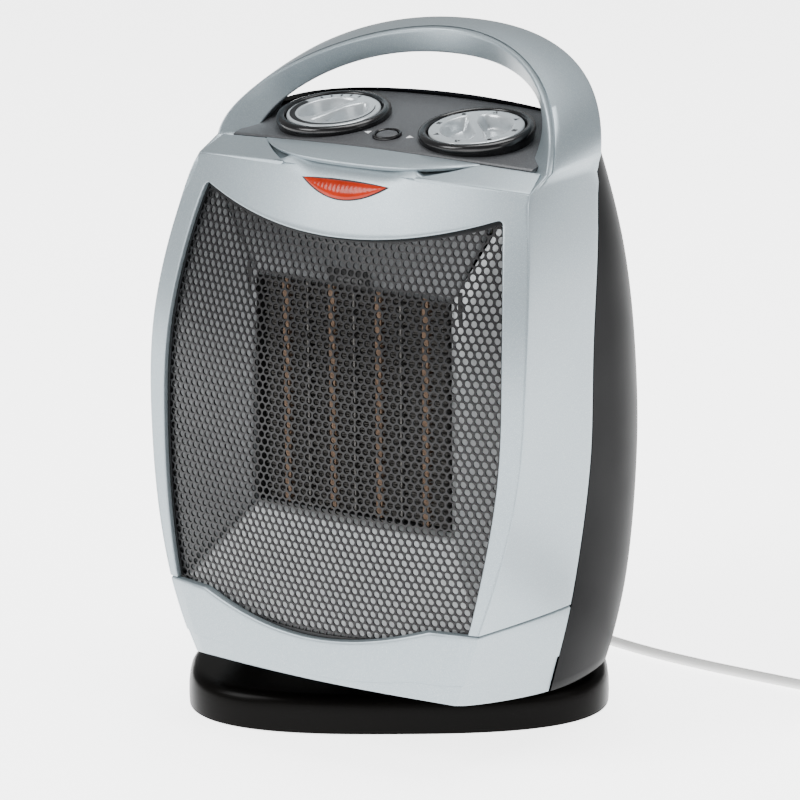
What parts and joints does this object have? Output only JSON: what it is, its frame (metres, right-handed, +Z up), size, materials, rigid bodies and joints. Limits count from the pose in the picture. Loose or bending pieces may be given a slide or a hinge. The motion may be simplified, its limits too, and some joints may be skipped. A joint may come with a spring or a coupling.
{
  "type": "ceramic space heater",
  "caption": "Compact upright ceramic fan heater on a swivelling oval stand, with an arched carry handle, sloping control panel, convex perforated grille and mains cord.",
  "frame": {"origin": "on the floor, under the middle of the bounding box of the heater without its cord", "axes": "+Z up, -Y out of the front grille at rest, +X to the right as seen by somebody who stands behind the heater and looks over it"},
  "size_m": [0.2799, 0.1694, 0.2496],
  "materials": {
    "silver": "light bluish silver paint on moulded plastic",
    "black": "satin black moulded plastic",
    "gloss_black": "polished black moulded plastic",
    "panel_grey": "satin dark grey paint",
    "knob_silver": "silver-white paint, satin",
    "ruby": "clear orange-red plastic",
    "mesh_black": "black powder coat on perforated steel",
    "sheet_steel": "plain rolled sheet",
    "aluminium": "plain, slightly heat dulled",
    "ceramic": "fired ceramic with a heat-resistant coating",
    "frame_black": "heat-resistant moulding, matt",
    "inner_plastic": "natural moulded plastic",
    "copper": "enamelled copper wire",
    "rubber": "matt",
    "cord_grey": "light grey flexible covering, satin"
  },
  "bodies": {
    "base": {"base_cover": "gloss_black", "base_plate": "black", "foot_1": "rubber", "foot_2": "rubber", "foot_3": "rubber", "foot_4": "rubber", "swivel_washer": "inner_plastic", "swivel_retainer": "sheet_steel", "strain_relief": "cord_grey", "cord_tube": "cord_grey", "cord_coil": "cord_grey", "plug": "cord_grey"},
    "housing": {"face_panel": "silver", "handle_hoop": "silver", "lower_apron": "silver", "rear_housing": "black", "housing_floor": "black", "collar_left": "black", "collar_right": "black", "button_bezel": "black", "control_panel": "panel_grey", "pilot_lens": "ruby", "pilot_lamp": "ruby", "front_grille": "mesh_black", "duct_funnel": "sheet_steel", "cutout_bracket": "sheet_steel", "motor_stator": "sheet_steel", "motor_bracket_front": "sheet_steel", "motor_bracket_rear": "sheet_steel", "oscillation_motor": "sheet_steel", "fin_pack_1": "aluminium", "fin_pack_2": "aluminium", "fin_pack_3": "aluminium", "fin_pack_4": "aluminium", "fin_pack_5": "aluminium", "fin_pack_6": "aluminium", "fin_pack_7": "aluminium", "fin_pack_8": "aluminium", "divider_1": "aluminium", "divider_2": "aluminium", "divider_3": "aluminium", "ceramic_strip_1": "ceramic", "ceramic_strip_2": "ceramic", "ceramic_strip_3": "ceramic", "ceramic_strip_4": "ceramic", "element_frame": "frame_black", "fan_shroud": "frame_black", "thermostat_body": "inner_plastic", "selector_switch": "inner_plastic", "oscillation_switch": "inner_plastic", "thermal_cutout": "inner_plastic", "tip_over_switch": "inner_plastic", "motor_coil": "copper"},
    "thermostat_dial": {"thermostat_knob": "knob_silver"},
    "selector_dial": {"selector_knob": "knob_silver"},
    "button": {"oscillation_button": "panel_grey"},
    "fan": {"fan_impeller": "sheet_steel", "motor_shaft": "sheet_steel", "motor_rotor": "sheet_steel"},
    "crank": {"crank_arm": "inner_plastic"}
  },
  "joints": [
    {"name": "body_swivel", "type": "hinge", "parent": "base", "child": "housing", "pos_m": [0, -0.0011, 0], "axis": [0, 0, 1], "range_deg": [-3, 67]},
    {"name": "thermostat_turn", "type": "hinge", "parent": "housing", "child": "thermostat_dial", "pos_m": [-0.03, -0.0031, 0.22], "axis": [0, -0.1582, 0.9874], "range_deg": [-240, 30]},
    {"name": "selector_turn", "type": "hinge", "parent": "housing", "child": "selector_dial", "pos_m": [0.03, -0.0031, 0.22], "axis": [0, -0.1582, 0.9874], "range_deg": [-150, 30]},
    {"name": "button_press", "type": "slide", "parent": "housing", "child": "button", "axis": [0, 0.1582, -0.9874], "range_m": [0, 0.0015], "stiffness_N_per_m": 300},
    {"name": "fan_spin", "type": "hinge", "parent": "housing", "child": "fan", "pos_m": [0, -0.0031, 0.124], "axis": [0, 1, 0], "continuous": true},
    {"name": "crank_turn", "type": "hinge", "parent": "housing", "child": "crank", "pos_m": [0, 0.0229, 0], "axis": [0, 0, 1], "range_deg": [-196, 10]}
  ],
  "couplings": [
    {"joint": "crank_turn", "follows": "body_swivel", "ratio": -2.9}
  ]
}
